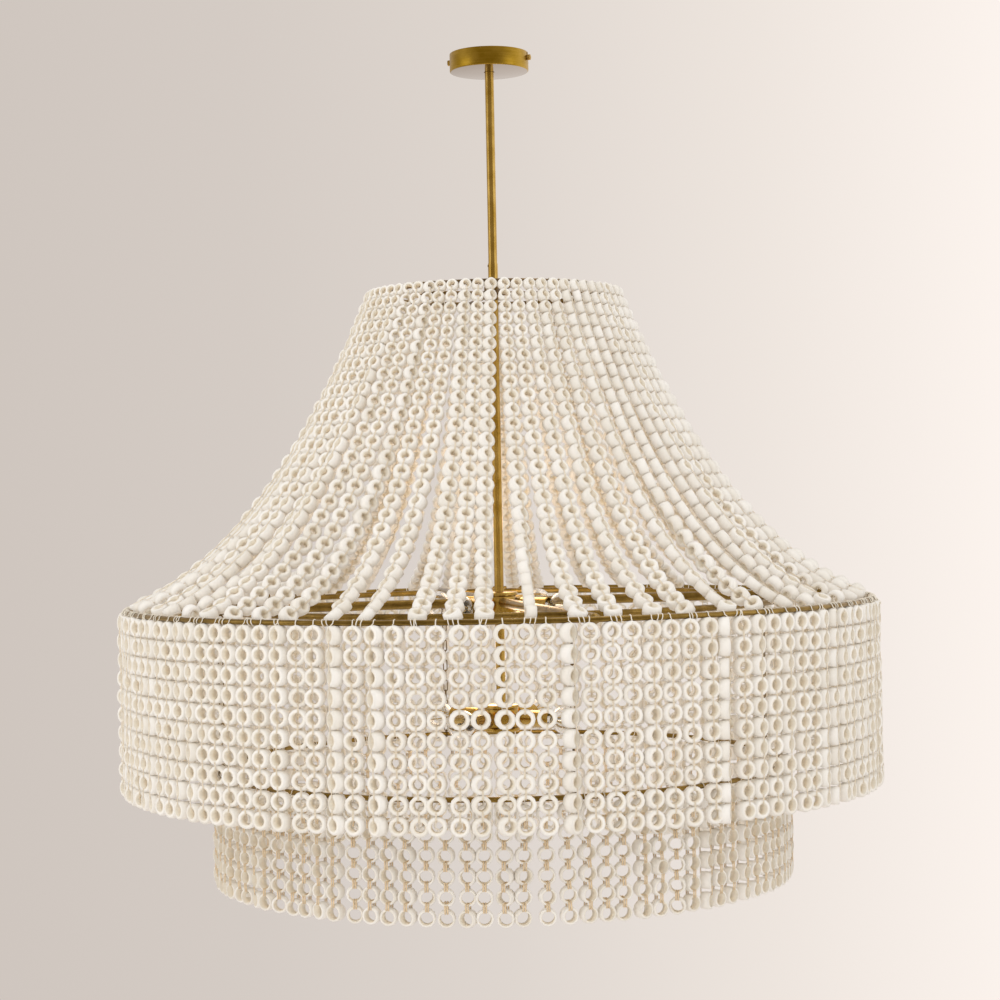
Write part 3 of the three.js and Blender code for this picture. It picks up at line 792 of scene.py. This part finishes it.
# %% Make one holder and one bulb
holder = turned("holder", [
    [0, 27.3], [6.0, 27.3], [6.0, 41.0], [6.6, 42.2], [8.4, 43.0], [12.4, 43.3], [13.5, 43.8],
    [14.0, 45.0], [14.0, 90.6], [14.3, 91.2], [14.3, 92.6], [13.9, 93.2], [13.0, 93.2],
    [12.4, 92.4], [12.4, 63.3], [0, 63.3],
], 48)
GLOBE_RADIUS, GLOBE_MIDDLE, GLASS_WALL = 22.5, 119.1, 0.8
neck = [[8.3, 86.0], [8.9, 91.0], [9.5, 96.0], [10.4, 99.0]]
globe_steps = [[GLOBE_RADIUS * math.sin(math.radians(angle)),
                GLOBE_MIDDLE - GLOBE_RADIUS * math.cos(math.radians(angle))]
               for angle in range(32, 180, 10)]
globe = turned("globe", neck + globe_steps + [[0, GLOBE_MIDDLE + GLOBE_RADIUS]], 48)
shell = globe.modifiers.new("wall", "SOLIDIFY")
shell.thickness = GLASS_WALL * MM
shell.offset = -1
take(globe)
bpy.ops.object.modifier_apply(modifier="wall")
bpy.ops.object.shade_smooth()
rolled = [[7.0 - 0.7 * (step % 2), 67.0 + 1.7 * step] for step in range(10)]
screw_cap = turned("screw_cap", [[0, 63.8], [3.0, 63.8], [3.4, 65.0], [6.2, 66.0]] + rolled
                   + [[7.0, 84.0], [8.2, 84.6], [8.2, 87.5], [7.4, 88.0], [0, 88.0]], 40)
print("globe:", len(globe.data.polygons), "faces")

# %% Make the filaments
def bent_wire(name, runs, radius, closed=False):
    """Fine wires or threads along rows of points, in metres, as one mesh."""
    start_fresh()
    data = bpy.data.curves.new(name, "CURVE")
    data.dimensions = "3D"
    data.bevel_depth = radius * MM
    data.bevel_resolution = 0
    data.use_fill_caps = True
    for run in runs:
        spline = data.splines.new("POLY")
        spline.points.add(len(run) - 1)
        spline.points.foreach_set("co", [value for point in run for value in (*point, 1.0)])
        spline.use_cyclic_u = closed
    wire = bpy.data.objects.new(name, data)
    scene.collection.objects.link(wire)
    take(wire)
    bpy.ops.object.convert(target="MESH")
    bpy.ops.object.shade_smooth()
    return bpy.context.object


FOOT, TIP = (3.0, 101), (11.5, 131)
TWIST_UP = 0.5
sticks = []
for quarter in range(4):
    turn = math.radians(90 * quarter + 20)
    sticks.append([Vector((reach * math.cos(angle), reach * math.sin(angle), height)) * MM
                   for (reach, height), angle in ((FOOT, turn), (TIP, turn + TWIST_UP))])
filament = bent_wire("filament", sticks, 0.9)
glass_stem = turned("glass_stem", [
    [0, 88.2], [6.0, 88.2], [5.2, 90.0], [3.0, 93.5], [2.2, 98.0], [2.2, 126.0], [1.4, 127.5],
    [0, 127.8],
], 24)
print("filaments:", len(sticks))

# %% Set the holders and bulbs round both hubs
LAMP_HEIGHTS = {"upper": -889, "lower": -1070}
for tier, height in LAMP_HEIGHTS.items():
    for number, azimuth in four_round(FIRST_SPOKE + 45):
        for master, label, finish, slot, node in (
            (holder, "holder_cup", rod_brass, "brass", f"{tier}_holder_{number}"),
            (globe, "globe", clear_glass, "glass", f"{tier}_bulb_{number}"),
            (glass_stem, "bulb_stem", clear_glass, "glass", f"{tier}_bulb_{number}"),
            (screw_cap, "bulb_cap", rod_brass, "brass", f"{tier}_bulb_{number}"),
            (filament, "bulb_filament", filament_finish, "glass", f"{tier}_bulb_{number}"),
        ):
            twin = copy_of(master, f"{tier}_{label}_{number}")
            fit(lay_outwards(twin, azimuth, height), "frame", finish, slot, node)
for master in (holder, globe, glass_stem, screw_cap, filament):
    bpy.data.objects.remove(master)
print("holders and bulbs:", 4 * len(LAMP_HEIGHTS))

# %% [markdown]
# ## Chains
# Each chain has thirteen oval links and a round one that holds the lower ring. A link is a torus,
# pulled apart in the middle. Every second link is turned a quarter, as in any chain.

# %% Make one link and copy it down each chain
WIRE, LINK_BEND = 0.9, 3.3
END_RADIUS, END_HEIGHT = 6.4, -1139.8
FIRST_TOP, LAST_BOTTOM, LINKS = -898.4, -1135.2, 13
LINK_SPAN = (FIRST_TOP - LAST_BOTTOM + (LINKS - 1) * 2 * WIRE) / LINKS


def oval_link():
    link = torus(LINK_BEND, WIRE, 20, 8)
    link.rotation_euler = (math.radians(90), 0, 0)
    settle(link)
    bpy.ops.object.mode_set(mode="EDIT")
    for sign in (1, -1):
        pick(lambda co: sign * co.z > 0.01 * MM)
        bpy.ops.transform.translate(value=(0, 0, sign * (LINK_SPAN / 2 - LINK_BEND) * MM))
    bpy.ops.object.mode_set(mode="OBJECT")
    bpy.ops.object.shade_smooth()
    return link


link = oval_link()
for number, azimuth in four_round(FIRST_SPOKE):
    links = []
    for step in range(LINKS):
        twin = copy_of(link, f"link_{number}_{step}")
        middle = FIRST_TOP - LINK_SPAN / 2 - step * (LINK_SPAN - 2 * WIRE)
        twin.location = outwards(azimuth, LOWER_RADIUS, middle)
        twin.rotation_euler = (0, 0, math.radians(azimuth + 90 * (step % 2)))
        links.append(settle(twin))
    end = chain_eye(END_RADIUS, WIRE, 8, azimuth, END_HEIGHT)
    whole = joined(links[0], *links[1:], end)
    whole.name = f"chain_links_{number}"
    fit(whole, f"chain_{number}", chain_brass, "dark_brass", f"chain_{number}")
bpy.data.objects.remove(link)
print("links a chain:", LINKS + 1, "each", round(LINK_SPAN + 2 * WIRE, 1), "mm long")

# %% [markdown]
# ## The ring bead and the tie
# All the beads are one shape in several sizes: a short piece of pale tube with a slightly bulging
# side and rounded rims. The thread doesn't run through them. Each bead is tied to the next one by a
# doubled loop of cord, which goes through both holes and round the two walls between them. There
# are thousands of both, so a bead has only sixty faces and a tie thirty-two, and smooth shading
# rounds them off.

# %% Make one bead and one tie
BEAD_WIDTH, BEAD_HOLE, BEAD_LENGTH = 25.2, 18.0, 16.0
CORD, LOOP = 0.55, 0.85
TIE_HEIGHT, TIE_DEPTH, APART = 11.0, BEAD_LENGTH + 2 * CORD, 0.7


def as_master(piece, hole_radius=0.0):
    """Keeps a piece as arrays: its corners, its faces, and which corners line its hole."""
    corners = np.array([corner.co for corner in piece.data.vertices])
    faces = np.array([list(face.vertices) for face in piece.data.polygons])
    lining = np.hypot(corners[:, 0], corners[:, 1]) < hole_radius * MM
    bpy.data.objects.remove(piece)
    return corners, faces, lining


BULGE, ROUNDED = 0.7, 0.6
out, inside, rim = BEAD_WIDTH / 2, BEAD_HOLE / 2, BEAD_LENGTH / 2
bead = as_master(turned("bead", [
    [out - BULGE, ROUNDED - rim], [out, 0], [out - BULGE, rim - ROUNDED], [inside, rim],
    [inside, -rim],
], 12, closed=True), inside + 1)
loops = [[Vector((side * APART, high * TIE_HEIGHT / 2, deep * TIE_DEPTH / 2)) * MM
          for high, deep in ((1, 1), (1, -1), (-1, -1), (-1, 1))] for side in (-1, 1)]
tie = as_master(bent_wire("tie", loops, CORD, True))
print("faces of a bead:", len(bead[1]), "and of a tie:", len(tie[1]))

# %% [markdown]
# A curtain of beads is one mesh for each quarter of the lamp. For every copy there is a place:
# where its middle is, its three directions (sideways, along the strand and along its hole), how it
# and its hole are stretched, and how light its wash is. The copies are laid out with arrays,
# because thousands of single objects would take minutes.

# %% Helpers that lay out copies
Place = namedtuple("Place", "middle axes outer lining tone")
Cord = namedtuple("Cord", "wide yellow")


def directions(along, face):
    """Three directions at right angles: sideways, along the strand, and along the hole."""
    along = along.normalized()
    face = (face - along * face.dot(along)).normalized()
    return np.array([along.cross(face), along, face])


def bead_place(middle, along, face, width, hole, length, tone):
    deep = length / BEAD_LENGTH
    return Place(middle, directions(along, face), (width / BEAD_WIDTH, width / BEAD_WIDTH, deep),
                 (hole / BEAD_HOLE, hole / BEAD_HOLE, deep), tone)


def hole_end(place, way):
    """The middle of a bead's wall, inside its hole, up or down the strand."""
    reach = place.lining[0] * BEAD_HOLE / 2 - CORD
    return place.middle + Vector(place.axes[1]) * way * reach * MM


def tie_between(low, high, cord):
    start, end = hole_end(low, 1), hole_end(high, -1)
    face = Vector(low.axes[2] + high.axes[2])
    stretch = (cord.wide, (end - start).length / (TIE_HEIGHT * MM),
               (low.outer[2] + high.outer[2]) / 2)
    return Place((start + end) / 2, directions(end - start, face), stretch, stretch, cord.yellow)


def lay_out(name, master, places):
    corners, faces, lining = master
    rounds = []
    for place in places:
        local = corners * np.where(lining[:, None], place.lining, place.outer)
        rounds.append(local @ place.axes + np.array(place.middle))
    starts = np.arange(len(places))[:, None, None] * len(corners)
    mesh = bpy.data.meshes.new(name)
    mesh.from_pydata(np.concatenate(rounds).tolist(), [],
                     (faces + starts).reshape(-1, faces.shape[1]).tolist())
    mesh.shade_smooth()
    tones = np.repeat([place.tone for place in places], len(corners))
    for label, values in (("tone", tones), ("hollow", np.tile(lining, len(places)))):
        attribute = mesh.attributes.new(label, "FLOAT", "POINT")
        attribute.data.foreach_set("value", values.astype(np.float32))
    curtain = bpy.data.objects.new(name, mesh)
    scene.collection.objects.link(curtain)
    print(name, len(places), "copies")
    return curtain


# %% [markdown]
# ## The two skirts
# The strands hang straight. No strand hangs quite like the next: each is turned a little on its
# thread, those at the sides more to the front, a few much further, and the beads in a strand are
# turned a little against each other. The random numbers start from a fixed seed, so the lamp is the
# same every time.

# %% String the skirts
Skirt = namedtuple("Skirt", "uneven reach count lowest pitch width hole")
UPPER = Skirt(0.06, 595.5, 10, -1156.9, 28.5, 27.8, 16.2)
LOWER = Skirt(0.15, 453, 6, -1306.4, 29.2, 26.0, 18.7)
chance = random.Random(23)


def strand_azimuths(count, quarter):
    """Azimuths of the strands in one quarter; they straddle the spokes."""
    return [FIRST_SPOKE + (quarter * count / 4 + step + 0.5) * 360 / count
            for step in range(count // 4)]


def skirt_strand(azimuth, skirt):
    """The places of a straight strand's beads, from the lowest one up."""
    azimuth += chance.gauss(0, skirt.uneven)
    twist = chance.gauss(3, 8) - 7 * math.sin(math.radians(azimuth))
    if chance.random() < 0.06:
        twist += chance.choice((-1, 1)) * chance.uniform(28, 50)
    lean = chance.gauss(0, 0.25)
    places = []
    for step in range(skirt.count):
        turn = azimuth + twist + chance.gauss(0, 6)
        middle = outwards(azimuth + lean * (skirt.count - step) / skirt.count,
                          skirt.reach + chance.gauss(0, 0.6),
                          skirt.lowest + skirt.pitch * step + chance.gauss(0, 0.3))
        along = Vector((chance.gauss(0, 0.02), chance.gauss(0, 0.02), 1))
        width = skirt.width + chance.gauss(0, 0.25)
        hole = skirt.hole + chance.gauss(0, 0.35)
        places.append(bead_place(middle, along, outwards(turn, 1), width, hole,
                                 BEAD_LENGTH + chance.gauss(0, 0.5), chance.random()))
    return places


def hang_curtain(name, body, node, strands, cord, strand_at, *details):
    """Beads and ties of all the strands, a mesh of each for every quarter of the lamp."""
    lines = []
    for quarter in range(4):
        strung = [strand_at(azimuth, *details) for azimuth in strand_azimuths(strands, quarter)]
        beads = [place for strand in strung for place in strand]
        ties = [tie_between(low, high, cord)
                for strand in strung for low, high in zip(strand, strand[1:])]
        fit(lay_out(f"{name}_beads_{quarter + 1}", bead, beads), body, cream_wash, "beads", node)
        fit(lay_out(f"{name}_ties_{quarter + 1}", tie, ties), body, thread_finish, "beads", node)
        lines.extend(strung)
    return lines


upper_lines = hang_curtain("upper", "frame", "main_ring_skirt", 128, Cord(1.0, 0.2),
                           skirt_strand, UPPER)
lower_lines = hang_curtain("lower", "lower_tier", "lower_ring_skirt", 100, Cord(2.3, 0.7),
                           skirt_strand, LOWER)
print("strands of the skirts:", len(upper_lines), "and", len(lower_lines))

# %% [markdown]
# ## The swag
# A chain that hangs between two points takes the shape of a catenary. The strand's length, 655 mm,
# is given, so the curve's scale is found by halving the range in which it lies, again and again.

# %% The curve of a hanging strand
def hanging_curve(span, fall, length):
    """Gives a function: how far out and down a point of the strand lies, and its slope there."""
    stretched = math.sqrt(length ** 2 - fall ** 2) / span
    low, high = 0.0, 10.0
    for _ in range(60):
        middle = (low + high) / 2
        if math.sinh(middle) / middle < stretched:
            low = middle
        else:
            high = middle
    scale = span / (low + high)
    centre = math.asinh(fall / (2 * scale * math.sinh(span / (2 * scale))))
    start = centre + span / (2 * scale)

    def point(along):
        here = math.asinh(math.sinh(start) - along / scale)
        return (scale * (start - here), scale * (math.cosh(start) - math.cosh(here)),
                math.sinh(here))
    return point


SWAG_START, SWAG_LENGTH = 198, 654.7
SWAG_SPAN, SWAG_FALL = MAIN_RADIUS - SWAG_START, TOP_HEIGHT - MAIN_HEIGHT
at_middle = hanging_curve(SWAG_SPAN, SWAG_FALL, SWAG_LENGTH)(SWAG_LENGTH / 2)
print("half way down a strand is", round(SWAG_START + at_middle[0]), "mm from the rod")

# %% [markdown]
# The beads of the swag grow from 18.5 mm at the top ring to 26.7 mm half way down, and have thicker
# walls than those of the skirts. The first one lies in front of the ring and hides it. They also
# hang turned about the strand. At the top all turn much the same way, and towards the main ring
# each strand twists as it likes, so that some of them end up showing only their sides.

# %% String the swag
SMALL_BEAD, GROWTH = (18.5, 11, 12), (8.2, 1.8, 3)
FIRST_BEAD, FREE_END = 6.0, 3


def swag_strand(azimuth):
    """The places of a long strand's beads, from the top ring down."""
    length = SWAG_LENGTH + chance.gauss(0, 1.2)
    curve = hanging_curve(SWAG_SPAN, SWAG_FALL, length)
    twist_above, twist_below = chance.gauss(25, 14), chance.gauss(5, 42)
    bow, drift = chance.gauss(0, 0.5), chance.gauss(0, 0.7)
    places, along = [], FIRST_BEAD
    while True:
        share = along / length
        grown = min(share / 0.5, 1)
        width, hole, deep = (size + more * grown for size, more in zip(SMALL_BEAD, GROWTH))
        width += chance.gauss(0, 0.2)
        if along + width / 2 > length - FREE_END:
            break
        reach, fall, slope = curve(along)
        here = azimuth + bow * math.sin(math.pi * share) + drift * share
        steep = math.hypot(1, slope)
        downwards = outwards(here, 1 / steep, -slope / steep) / MM
        outer = outwards(here, slope / steep, 1 / steep) / MM
        late = min(max((share - 0.35) / 0.6, 0), 1) ** 1.5
        twist = twist_above + (twist_below - twist_above) * late + chance.gauss(0, 7)
        turned_face = Quaternion(-downwards, math.radians(twist)) @ outer
        places.append(bead_place(outwards(here, SWAG_START + reach, TOP_HEIGHT - fall), downwards,
                                 turned_face, width, hole, deep, chance.random()))
        gap = 0.9 - 0.8 * grown + 1.2 * share
        along += width + gap
    return places


swag_lines = hang_curtain("swag", "frame", "top_ring_swag", 64, Cord(1.0, 0.2), swag_strand)
print("beads on a swag strand:", len(swag_lines[0]))

# %% [markdown]
# ## Loops round the rings
# The strands of the skirts hang on cords that go over the ring, down both of its sides and through
# the hole of the highest bead. The long strands of the swag end on two cords that slant down round
# the main ring. These pale loops are what breaks up the shine of the ring.

# %% Tie the strands to the rings
STEPS_ROUND, STEPS_OVER = 12, 7


def ring_loop(azimuth, radius, height, spread=0.0, steps=STEPS_ROUND):
    """A cord round a ring's tube, or over a part of it.

    It leans along the ring, by 1 mm to either side for a spread of 57."""
    reach = RING_TUBE + LOOP
    points = []
    for step in range(steps):
        turn = 2 * math.pi * step / STEPS_ROUND
        out, up = math.cos(turn), math.sin(turn)
        points.append(outwards(azimuth + spread * up / radius, radius + reach * out,
                               height + reach * up))
    return points


def azimuth_of(point):
    return math.degrees(math.atan2(point.x, -point.y))


def hanging_loop(strand, radius, height):
    """A cord over the ring that holds the highest bead of a skirt's strand."""
    top = strand[-1]
    over = ring_loop(azimuth_of(top.middle), radius, height, chance.uniform(-45, 45), STEPS_OVER)
    foot = hole_end(top, 1)
    face = Vector(top.axes[2]) * (BEAD_LENGTH / 2 * top.outer[2] + LOOP) * MM
    rim = Vector(top.axes[1]) * 2.6 * MM
    return over + [foot - face + rim, foot - face, foot + face, foot + face + rim]


for name, body, node, strung, radius, height in (
    ("upper_loops", "frame", "main_ring_skirt", upper_lines, MAIN_RADIUS, MAIN_HEIGHT),
    ("lower_loops", "lower_tier", "lower_ring_skirt", lower_lines, LOWER_RADIUS, LOWER_HEIGHT),
):
    loops = [hanging_loop(strand, radius, height) for strand in strung]
    fit(bent_wire(name, loops, LOOP, True), body, thread_finish, "beads", node)
    print(name, len(loops))

# %% Tie the swag to both rings
loops = []
for strand in swag_lines:
    first, last = azimuth_of(strand[0].middle), azimuth_of(strand[-1].middle)
    loops.append(ring_loop(first, TOP_RADIUS, TOP_HEIGHT))
    slant = chance.choice((-1, 1)) * chance.uniform(60, 110)
    for offset in (-0.32, 0.32):
        loops.append(ring_loop(last + offset, MAIN_RADIUS, MAIN_HEIGHT, slant))
fit(bent_wire("swag_loops", loops, LOOP, True), "frame", thread_finish, "beads", "top_ring_swag")
print("swag loops:", len(loops))
